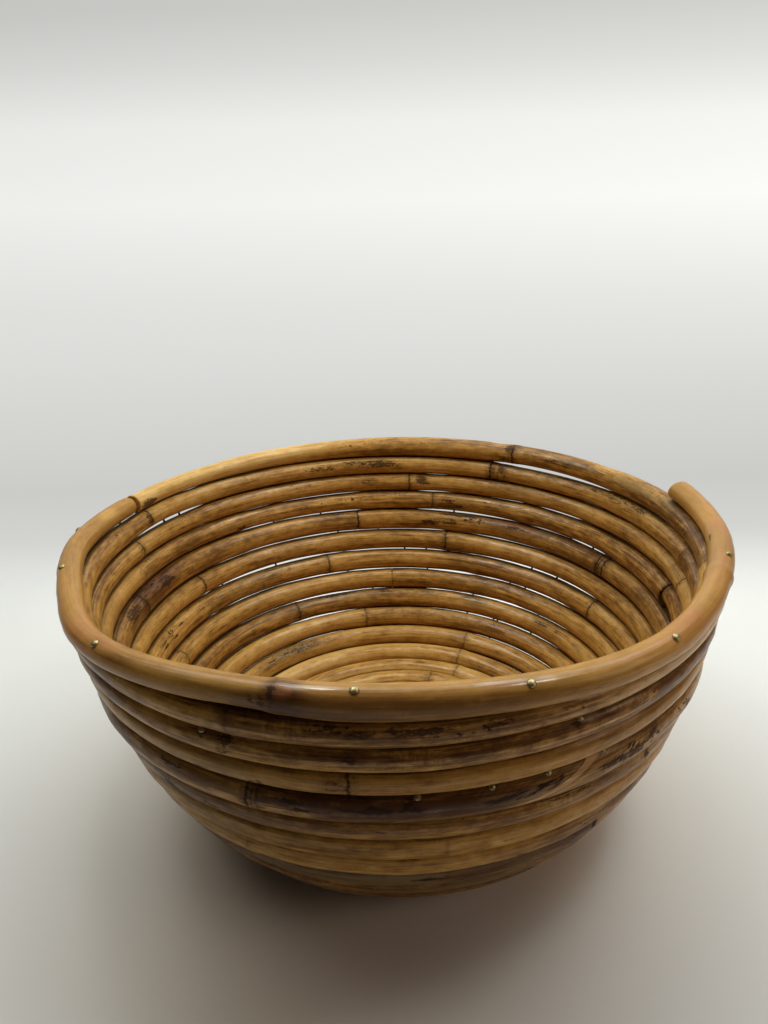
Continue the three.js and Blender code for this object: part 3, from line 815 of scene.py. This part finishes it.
def point_object(name, places, edges, values):
    """A mesh of points and edges that carries named values for a geometry node group."""
    mesh = bpy.data.meshes.new(name)
    mesh.from_pydata([tuple(p) for p in places], edges, [])
    for label, numbers in values.items():
        write(mesh, label, numbers)
    return placed(name, mesh)


def cane_tree():
    """Sweeps a round section along a line, with growth rings, dents and slanted ends."""
    tree = GeometryTree(
        "Cane pole",
        {
            "Sides": "Int",
            "Ring swelling": "Float",
            "Ring groove": "Float",
            "Unevenness": "Float",
            "Material": "Material",
        },
    )
    offset = tree.named("ring_offset")

    def bell(width):
        """1 at a growth ring and less to both sides, over a width in millimetres."""
        return tree.math("EXPONENT", (offset / (width * MM)) ** 2 * -1.0)

    radius = (
        tree.named("pole_radius")
        + tree.given("Ring swelling") * tree.named("ring_size") * bell(RING_WIDTH)
        - tree.given("Ring groove") * tree.named("ring_dark") * bell(GROOVE_WIDTH)
    )
    line = tree.value("GeometryNodeMeshToCurve", {}, {"Mesh": tree.given("Geometry")})
    out = tree.named_vector("out")
    inputs = {"Curve": line, "Normal": out}
    line = tree.value("GeometryNodeSetCurveNormal", {"mode": "FREE"}, inputs)
    line = tree.value("GeometryNodeSetCurveRadius", {}, {"Curve": line, "Radius": radius})
    inputs = {"Resolution": tree.given("Sides"), "Radius": 1.0}
    section = tree.value("GeometryNodeCurvePrimitiveCircle", {"mode": "RADIUS"}, inputs)
    inputs = {
        "Curve": line,
        "Profile Curve": section,
        "Scale": tree.value("GeometryNodeInputRadius"),
        "Fill Caps": True,
    }
    tube = tree.value("GeometryNodeCurveToMesh", {}, inputs)

    position = tree.value("GeometryNodeInputPosition")
    across = tree.vector("SUBTRACT", position, tree.named_vector("middle"))
    height = tree.vector("DOT_PRODUCT", across, tree.named_vector("up"), output=1)
    slide = tree.named("slant") * height / tree.named("pole_radius")
    # A long slide also follows the bend of the pole inwards
    inward = tree.scaled(out, slide * slide * -SCARF_BEND)
    slid = tree.vector("ADD", tree.scaled(tree.named_vector("ahead"), slide), inward)
    # Dents fade out where a turn rests on the next, so that the gaps keep their width
    clear = 1.0 - (height / tree.named("pole_radius")) ** 2
    dent = (tree.noise(position, DENTS) - 0.5) * clear * tree.given("Unevenness")
    away = tree.scaled(tree.value("GeometryNodeInputNormal"), dent)
    inputs = {"Geometry": tube, "Offset": tree.vector("ADD", slid, away)}
    tube = tree.value("GeometryNodeSetPosition", {}, inputs)
    ground = (-9.0, -9.0, 0.0)  # no limit sideways, and worn flat where the basket stands
    inputs = {"Geometry": tube, "Position": tree.vector("MAXIMUM", position, ground)}
    tube = tree.value("GeometryNodeSetPosition", {}, inputs)
    return tree.end(tree.value("GeometryNodeSetShadeSmooth", {}, {"Geometry": tube}))


def paint_marks(mesh):
    """Gives a pole its grain coordinates and the strength of each kind of mark at each point."""
    directions = (mesh.attributes[name].data for name in ("middle", "out", "up"))
    middle, out, up = (read_vectors(data, "vector") for data in directions)
    across = read_vectors(mesh.vertices, "co") - middle
    out, up = (across * out).sum(1), (across * up).sum(1)
    lengths = read(mesh, "length")
    turns = read(mesh, "turn")
    radius = read(mesh, "pole_radius")
    write(mesh, "grain", np.stack([lengths, out, up], 1))
    open_top = (turns < 1 + FREE_END) & (up > 0)  # nothing rests on the rim
    # Painted shade where a turn rests on the next, partly stain gathered in the crevice; the rim's
    # top gets none.
    write(mesh, "crevice", np.where(open_top, 0, np.abs(up) / radius))
    write(mesh, "bark", along(BARK, turns))
    to_cut = coil.length_at(SCARF_JOINT) - lengths
    write(mesh, "bare", np.where(to_cut > 0, smooth((BARE_BAND * MM - to_cut) / MM), 0))
    angle = np.arctan2(up, out)
    for kind, marks in MARKS.items():
        layer = toned(turns) if kind == "shade" else np.zeros(len(turns))
        for turn, place, long, wide, strength in marks:
            d_length = (lengths - coil.length_at(turn)) / (long * MM / 2)
            d_angle = (angle - math.radians(place) + math.pi) % (2 * math.pi) - math.pi
            distance = np.hypot(d_length, d_angle * radius / (wide * MM / 2))
            layer = layer + strength * (1 - smooth((distance - MARK_CORE) / MARK_FADE))
        write(mesh, kind, layer)


def cane_material(name):
    """Stained and varnished rattan, with the grain along each pole."""
    material = bpy.data.materials.new(name)
    g = blank_graph(material)
    settings = bpy.context.scene.basket_cane
    grain = g.attribute("grain", "Vector")

    def noise(lengthwise, across, detail=2.0, roughness=0.6):
        """Noise round zero with so many patches in a metre each way."""
        place = g.vector("MULTIPLY", grain, (lengthwise, across, across))
        return g.noise(place, 1.0, detail, roughness) - 0.5

    fibre = noise(45.0, 1500.0, 3.0)
    streak = noise(9.0, 330.0, 4.0)
    blotch = noise(34.0, 150.0, 4.0)
    mottle = noise(130.0, 330.0, 4.0, 0.65)
    drift = noise(11.0, 22.0)
    ageing = noise(9.0, 26.0)
    ragged = noise(240.0, 760.0, 5.0, 0.75)
    strand = noise(16.0, 720.0, 3.0)
    speck = noise(380.0, 620.0, 2.0, 0.5)
    grains = noise(520.0, 1400.0, 2.0, 0.5)
    crossing = noise(1100.0, 160.0)

    bark = g.attribute("bark")
    marbled = streak * 0.6 + blotch * 0.6 + mottle * 0.8 + drift * 0.7 + fibre * 0.6
    marbled = marbled + strand * 0.55 + crossing * blotch.between(-0.02, 0.12) * 0.4
    tone = g.attribute("shade") * 0.42 + 0.565 + marbled * bark
    tones = settings.stained, settings.brown, settings.honey, settings.straw
    stops = list(zip((0.0, 0.32, 0.62, 1.0), map(tuple, tones)))
    colour = g.value("ShaderNodeValToRGB", {"stops": stops}, {0: tone})
    blush = g.attribute("blush") * (blotch * 3.0 + 0.75)
    colour = g.mix(blush.between(0.0, 1.3) * 0.8, colour, tuple(settings.blush))
    film = g.attribute("film") * (streak * 4.0 + ragged * 2.0 + strand * 1.5 + 0.6) + ageing * 1.2
    colour = g.mix(film.between(-0.1, 0.9) * 0.8, colour, tuple(settings.film))

    strength = g.attribute("stain")
    worn = ragged * 1.6 + mottle * 0.8 + strand * 1.4 + grains * 1.5
    stain = (strength * 0.95 - worn * 0.9 - 0.22).between(0.0, 0.4) * strength.between(0.02, 0.2)
    flecks = (g.attribute("flecks") * 0.24 + speck * bark.least(1.0) - 0.25).between(0.0, 0.07)
    freckles = (noise(260.0, 900.0) + mottle * 0.5) * bark.least(1.0) ** 2
    freckles = (freckles - 0.2).between(0.0, 0.1) * 0.5

    wave = noise(0.0, 300.0, 3.0) * 3.2 * MM
    offset = abs(g.attribute("ring_offset") + wave)
    ring = g.attribute("ring_dark")
    line = offset.between(1.5 * MM, 0.25 * MM) * ring * (ragged * 2.0 + 0.95).least(1.0)
    halo = offset.between(7.0 * MM, 0.5 * MM) * ring * (ragged * 3.0 + streak * 2.0 + 0.5)
    # Painted shade darkening the crevices between the turns, partly stain gathered there.
    crevice = (g.attribute("crevice") + streak * 0.7 + blotch * 0.4).between(0.78, 1.0)

    scars_and_crevice_shade = line.most(stain * 0.8).most(flecks * 0.9).most(freckles).most(crevice * 0.85)
    scars_and_crevice_shade = scars_and_crevice_shade.most(halo.between(0.0, 1.0) * 0.8)
    colour = g.mix(scars_and_crevice_shade, colour, tuple(settings.scar_and_crevice_shade))
    bare = g.attribute("bare")
    wood = g.mix(fibre * 2.0 + 0.75, tuple(settings.brown), tuple(settings.bare))

    varnish = (crossing * 1.1 + streak * 1.6 + mottle * 0.9) * bark + 0.26
    height = fibre * 0.8 + streak * 1.2 + ragged * strength * 0.7 - flecks * 0.5 - line * 0.7
    inputs = {
        "Base Color": g.mix(bare, colour, wood),
        "Roughness": streak * 0.5 + 0.42 + scars_and_crevice_shade * 0.25 + bare * 0.25,
        "Normal": g.bump(0.4, 0.3, height),
        "Specular IOR Level": 0.12,
        "Coat Weight": (varnish + g.attribute("gloss") * 0.9) * (1.0 - scars_and_crevice_shade),
        "Coat Roughness": 0.16,
    }
    surface = g.value("ShaderNodeBsdfPrincipled", {}, inputs)
    g.node("ShaderNodeOutputMaterial", {}, {"Surface": surface})
    return material


def metal_material(name, colour, tarnish, roughness):
    """Metal with darker tarnish in patches, on Object coordinates."""
    material = bpy.data.materials.new(name)
    g = blank_graph(material)
    patches = g.noise(g.value("ShaderNodeTexCoord", {}, {}, "Object"), 900.0, 3.0, 0.6)
    worn = patches.between(0.42, 0.7)
    inputs = {
        "Base Color": g.mix(worn * 0.7, tuple(colour), tarnish),
        "Metallic": 1.0,
        "Roughness": worn * 0.25 + roughness,
        "Normal": g.bump(0.3, 0.1, patches),
    }
    surface = g.value("ShaderNodeBsdfPrincipled", {}, inputs)
    g.node("ShaderNodeOutputMaterial", {}, {"Surface": surface})
    return material


def cane():
    name = "varnished cane"
    return bpy.data.materials.get(name) or cane_material(name)


def brass(shaded_brightness=1.0):
    """Brass; a share below 1 makes a darker copy, painted shade for the wall pins."""
    name = f"brass {shaded_brightness}"
    colour = [channel * shaded_brightness**2 for channel in bpy.context.scene.basket_pins.brass]
    return bpy.data.materials.get(name) or metal_material(name, colour, srgb(76, 64, 42), 0.42)


def steel():
    name = "dark steel"
    colour = bpy.context.scene.basket_pins.steel
    return bpy.data.materials.get(name) or metal_material(name, colour, srgb(34, 26, 20), 0.5)


def lathe(name, profile, sides):
    """Closed turned mesh round +Z from (radius, height) points whose ends lie on the axis."""
    angles = [2 * math.pi * i / sides for i in range(sides)]
    points = [(0.0, 0.0, profile[0][1])]
    points += [(r * math.cos(a), r * math.sin(a), z) for r, z in profile[1:-1] for a in angles]
    points.append((0.0, 0.0, profile[-1][1]))
    rings = len(profile) - 2
    top = len(points) - 1
    faces = []
    for i in range(sides):
        j = (i + 1) % sides
        faces.append((0, 1 + j, 1 + i))
        for r in range(rings - 1):
            a, b = 1 + r * sides + i, 1 + r * sides + j
            faces.append((a, b, b + sides, a + sides))
        last = 1 + (rings - 1) * sides
        faces.append((last + i, last + j, top))
    mesh = bpy.data.meshes.new(name)
    mesh.from_pydata(points, [], faces)
    mesh.shade_smooth()
    return placed(name, mesh)


def domed_profile(settings, share=1.0):
    head, dome, shank = share * settings.head / 2, share * settings.dome, settings.shank / 2
    deep = PIN_DEPTH * MM
    return [
        (0, -deep),
        (shank * 0.9, shank * 4 - deep),
        (shank, shank * 4.4 - deep),
        (shank, -0.1 * MM),
        (head * 0.92, -0.15 * MM),
        (head, 0.12 * MM),
        (head * 0.97, dome * 0.32),
        (head * 0.84, dome * 0.6),
        (head * 0.62, dome * 0.82),
        (head * 0.33, dome * 0.96),
        (0, dome),
    ]


def flush_profile(settings):
    shank = settings.shank / 2
    deep = BRAD_DEPTH * MM
    return [
        (0, -deep),
        (shank, shank * 4 - deep),
        (shank, -1.4 * MM),
        (1.0 * MM, -0.8 * MM),
        (1.0 * MM, -0.3 * MM),
        (0.85 * MM, -0.2 * MM),
        (0, -0.2 * MM),
    ]


def nail_tree():
    """Sets a copy of a nail at every point, turned to the point's direction."""
    tree = GeometryTree("Nails", {"Nail": "Object", "Size": "Float", "Material": "Material"})
    settings, inputs = {"transform_space": "ORIGINAL"}, {"Object": tree.given("Nail")}
    nail = tree.value("GeometryNodeObjectInfo", settings, inputs, "Geometry")
    inputs = {"Vector": tree.named_vector("direction")}
    inputs = {
        "Points": tree.given("Geometry"),
        "Instance": nail,
        "Rotation": tree.value("FunctionNodeAlignRotationToVector", {"axis": "Z"}, inputs),
        "Scale": tree.given("Size"),
    }
    return tree.end(tree.value("GeometryNodeInstanceOnPoints", {}, inputs))


def nail_seats(turns, places, square):
    """Where each nail's head sits and which way it points, turned to lie square on the pole."""
    shift, swell = settled(turns)
    line, left = bent_frame(turns, shift)
    angle = np.radians(places)[:, None]
    radius = ((line["radius"] + swell * MM) * left)[:, None]
    away = line["out"] * np.cos(angle) + line["up"] * np.sin(angle)
    seats = line["middle"] + radius * away
    direction = seats - coil.frame(turns + 1)["middle"]
    direction = direction / np.linalg.norm(direction, axis=1)[:, None] + square * away
    return seats, direction / np.linalg.norm(direction, axis=1)[:, None]


def nail_piece(name, turns, places, profile, material, nodes, square=0.0):
    """One piece with all the nails of a kind, in place of their solids."""
    places = np.broadcast_to(places, len(turns)).astype(float)
    seats, direction = nail_seats(np.asarray(turns, float), places, square)
    points = point_object(name + "_seats", seats, [], {"direction": direction})
    shape = lathe(name + "_shape", profile, NAIL_SIDES)
    piece = baked(points, nail_tree(), {"Nail": shape, "Size": 1.0, "Material": material}, name)
    bpy.data.objects.remove(shape)
    if nodes:
        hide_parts(*nodes)
    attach(piece, "root")


def pole_pieces(stem):
    """One piece for each pole whose name starts with a stem, in place of its solid."""
    settings = bpy.context.scene.basket_cane
    tree = bpy.data.node_groups.get("Cane pole") or cane_tree()
    inputs = {
        "Sides": settings.sides,
        "Ring swelling": settings.swelling,
        "Ring groove": settings.groove,
        "Unevenness": settings.wobble,
        "Material": cane(),
    }
    for name in POLES:
        if name.startswith(stem):
            line = pole_line(name, settings.spacing)
            edges = [(i, i + 1) for i in range(len(line["turn"]) - 1)]
            source = point_object(name + "_line", line["middle"], edges, line)
            piece = baked(source, tree, inputs, name + "_cane")
            paint_marks(piece.data)
            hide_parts(name)
            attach(piece, "root")
    return {"FINISHED"}


class BASKET_OT_rim(Operator):
    """Bend the pole that forms the rim"""

    bl_idname = "basket.rim"
    bl_label = "Rim pole"

    def execute(self, context):
        return pole_pieces("rim")


class BASKET_OT_upper_wall(Operator):
    """Coil the poles of the upper wall"""

    bl_idname = "basket.upper_wall"
    bl_label = "Upper wall poles"

    def execute(self, context):
        return pole_pieces("upper_wall")


class BASKET_OT_middle_wall(Operator):
    """Coil the poles of the middle wall"""

    bl_idname = "basket.middle_wall"
    bl_label = "Middle wall poles"

    def execute(self, context):
        return pole_pieces("middle_wall")


class BASKET_OT_lower_wall(Operator):
    """Coil the poles of the lower wall"""

    bl_idname = "basket.lower_wall"
    bl_label = "Lower wall poles"

    def execute(self, context):
        return pole_pieces("lower_wall")


class BASKET_OT_base(Operator):
    """Coil the pole of the base in to its eye"""

    bl_idname = "basket.base"
    bl_label = "Base pole"

    def execute(self, context):
        return pole_pieces("base")


class BASKET_OT_rim_pins(Operator):
    """Drive the brass pins of the rim"""

    bl_idname = "basket.rim_pins"
    bl_label = "Rim pins"

    def execute(self, context):
        profile = domed_profile(context.scene.basket_pins)
        nodes = numbered("rim_pin", len(RIM_PINS))
        turns, places = zip(*RIM_PINS)
        nail_piece("rim_pins", turns, places, profile, brass(), nodes, PIN_SQUARENESS)
        return {"FINISHED"}


class BASKET_OT_wall_pins(Operator):
    """Drive the brass pins of the wall, which are smaller and darker in painted shade"""

    bl_idname = "basket.wall_pins"
    bl_label = "Wall pins"

    def execute(self, context):
        profile = domed_profile(context.scene.basket_pins, WALL_PIN_SIZE)
        nodes = numbered("wall_pin", len(WALL_PINS))
        turns, places = zip(*WALL_PINS)
        metal = brass(WALL_PIN_SHADED_BRIGHTNESS)
        nail_piece("wall_pins", turns, places, profile, metal, nodes, PIN_SQUARENESS)
        return {"FINISHED"}


class BASKET_OT_brads(Operator):
    """Drive the steel brads between the turns"""

    bl_idname = "basket.brads"
    bl_label = "Brads"

    def execute(self, context):
        profile = flush_profile(context.scene.basket_pins)
        kinds = [("row_brads", ROW_BRADS, numbered("row_brad", len(ROW_BRADS)))]
        joints = coil.length_at(np.array(JOINTS))
        for side, word in ((-1, "upper"), (1, "lower")):
            turns = coil.turn_at(joints + side * JOINT_BRAD_OFFSET * MM)
            nodes = [f"{stem}_{word}" for stem in numbered("joint_brad", len(JOINTS))]
            kinds.append((f"{word}_joint_brads", turns, nodes))
        kinds.append(("thin_nails", THIN_NAILS, []))
        for name, turns, nodes in kinds:
            nail_piece(name, turns, BRAD_PLACE, profile, steel(), nodes)
        return {"FINISHED"}


def aim_camera(settings):
    camera = bpy.data.cameras.new("Camera")
    camera.sensor_fit = "HORIZONTAL"
    camera.sensor_width = 36.0
    camera.lens = settings.focal
    camera.clip_start = 0.01
    made = placed("Camera", camera)
    made.location = Vector(CAMERA_PLACE) * MM
    made.rotation_euler = (math.radians(90 - CAMERA_PITCH), 0, 0)
    made.rotation_euler.rotate_axis("Z", math.radians(CAMERA_ROLL))
    bpy.context.scene.camera = made


def floor_material(settings):
    """Matt white floor whose far part and backdrop have a set brightness in the camera."""
    material = bpy.data.materials.new("studio floor")
    g = blank_graph(material)
    place = g.value("ShaderNodeTexCoord", {}, {}, "Object")
    axes = g.node("ShaderNodeSeparateXYZ", {}, {0: place})
    x, y, z = (Socket(g, output) for output in axes.outputs)
    reach = (y + z) / BACKDROP_TOP
    stops = [(s / BACKDROP_TOP, srgb(v, v, v - 3)) for s, v in BACKDROP_LIGHT]
    light = g.value("ShaderNodeValToRGB", {"stops": stops}, {0: reach})
    # Painted light: the floor in front grows paler away from the basket, so that it stays darker
    # near it.
    painted_light_away = (x * x + y * y).between(0.05, 0.15) * y.between(0.1, -0.1)
    colour = g.mix(painted_light_away, tuple(settings.floor), srgb(254, 253, 249))
    inputs = {"Base Color": colour, "Roughness": 0.7, "Specular IOR Level": 0.2}
    plain = g.value("ShaderNodeBsdfPrincipled", {}, inputs)
    # Painted light: the backdrop's glow in the camera has bands along the sweep and grows brighter
    # towards +x.
    sideways = x * 0.17 * reach.between(0.4, 0.6) + 1.0
    glow = g.value("ShaderNodeEmission", {}, {"Color": g.scaled(light, sideways)})
    path = g.value("ShaderNodeLightPath", {}, {}, "Is Camera Ray")
    front = g.blend(path * y.between(0.16, 0.34), plain, glow)
    # Seen from behind, the backdrop lets the basket show
    behind = g.value("ShaderNodeNewGeometry", {}, {}, "Backfacing")
    both = g.blend(behind, front, g.value("ShaderNodeBsdfTransparent"))
    g.node("ShaderNodeOutputMaterial", {}, {"Surface": both})
    return material


def sweep_mesh():
    """Floor that bends up into a backdrop behind the basket."""
    profile = [(FLOOR_FRONT, 0.0), (BACKDROP_FOOT, 0.0)]
    for i in range(1, BEND_STEPS + 1):
        angle = math.pi / 2 * i / BEND_STEPS
        ahead, rise = math.sin(angle), 1 - math.cos(angle)
        profile.append((BACKDROP_FOOT + BACKDROP_BEND * ahead, BACKDROP_BEND * rise))
    profile.append((BACKDROP_FOOT + BACKDROP_BEND, BACKDROP_TOP))
    points = [(x, y, z) for y, z in profile for x in (-FLOOR_SIDE, FLOOR_SIDE)]
    faces = [(2 * i, 2 * i + 1, 2 * i + 3, 2 * i + 2) for i in range(len(profile) - 1)]
    mesh = bpy.data.meshes.new("studio_sweep")
    mesh.from_pydata(points, [], faces)
    mesh.shade_smooth()
    return mesh


def softbox(name, place, size, aim, power, colour):
    lamp = bpy.data.lights.new(name, "AREA")
    lamp.shape = "RECTANGLE"
    lamp.size, lamp.size_y = size
    lamp.energy = power
    lamp.color = colour
    made = placed(name, lamp)
    made.location = place
    made.rotation_euler = (Vector(aim) - Vector(place)).to_track_quat("-Z", "Y").to_euler()


def studio_world(ambient):
    """A pale room in the camera that lights the basket only faintly."""
    world = bpy.data.worlds.new("studio")
    g = blank_graph(world)
    seen = g.value("ShaderNodeLightPath", {}, {}, "Is Camera Ray")
    colour = srgb(236, 236, 234)
    shown, felt = (
        g.value("ShaderNodeBackground", {}, {"Color": colour, "Strength": strength})
        for strength in (1.0, ambient)
    )
    g.node("ShaderNodeOutputWorld", {}, {"Surface": g.blend(seen, felt, shown)})
    return world


class BASKET_OT_stage(Operator):
    """Set the floor, the lamps, the backdrop and the camera"""

    bl_idname = "basket.stage"
    bl_label = "Stage"

    def execute(self, context):
        settings = context.scene.basket_stage
        aim_camera(settings)
        sweep = placed("studio_sweep", sweep_mesh())
        sweep.data.materials.append(floor_material(settings))
        for name, (place, size, aim, power, colour) in SOFTBOXES.items():
            softbox(name, place, size, aim, power * settings.lamp, colour)
        context.scene.world = studio_world(settings.ambient)
        context.scene.view_settings.view_transform = "Standard"
        return {"FINISHED"}


class BASKET_PT_panel(Panel):
    """Lists the steps that build the basket"""

    bl_idname = "BASKET_PT_panel"
    bl_label = "Coiled basket"
    bl_space_type = "VIEW_3D"
    bl_region_type = "UI"
    bl_category = "Basket"

    def draw(self, context):
        for operator in OPERATORS:
            self.layout.operator(operator.bl_idname)


OPERATORS = (
    BASKET_OT_rim,
    BASKET_OT_upper_wall,
    BASKET_OT_middle_wall,
    BASKET_OT_lower_wall,
    BASKET_OT_base,
    BASKET_OT_rim_pins,
    BASKET_OT_wall_pins,
    BASKET_OT_brads,
    BASKET_OT_stage,
)
SETTINGS = {"basket_cane": CaneSettings, "basket_pins": PinSettings, "basket_stage": StageSettings}
CLASSES = (*SETTINGS.values(), *OPERATORS, BASKET_PT_panel)


def register():
    for made in CLASSES:
        bpy.utils.register_class(made)
    for name, settings in SETTINGS.items():
        setattr(bpy.types.Scene, name, PointerProperty(type=settings))


def unregister():
    for name in SETTINGS:
        delattr(bpy.types.Scene, name)
    for made in reversed(CLASSES):
        bpy.utils.unregister_class(made)


def main():
    register()
    for operator in OPERATORS:
        group, name = operator.bl_idname.split(".")
        getattr(getattr(bpy.ops, group), name)()


if __name__ == "__main__":
    main()
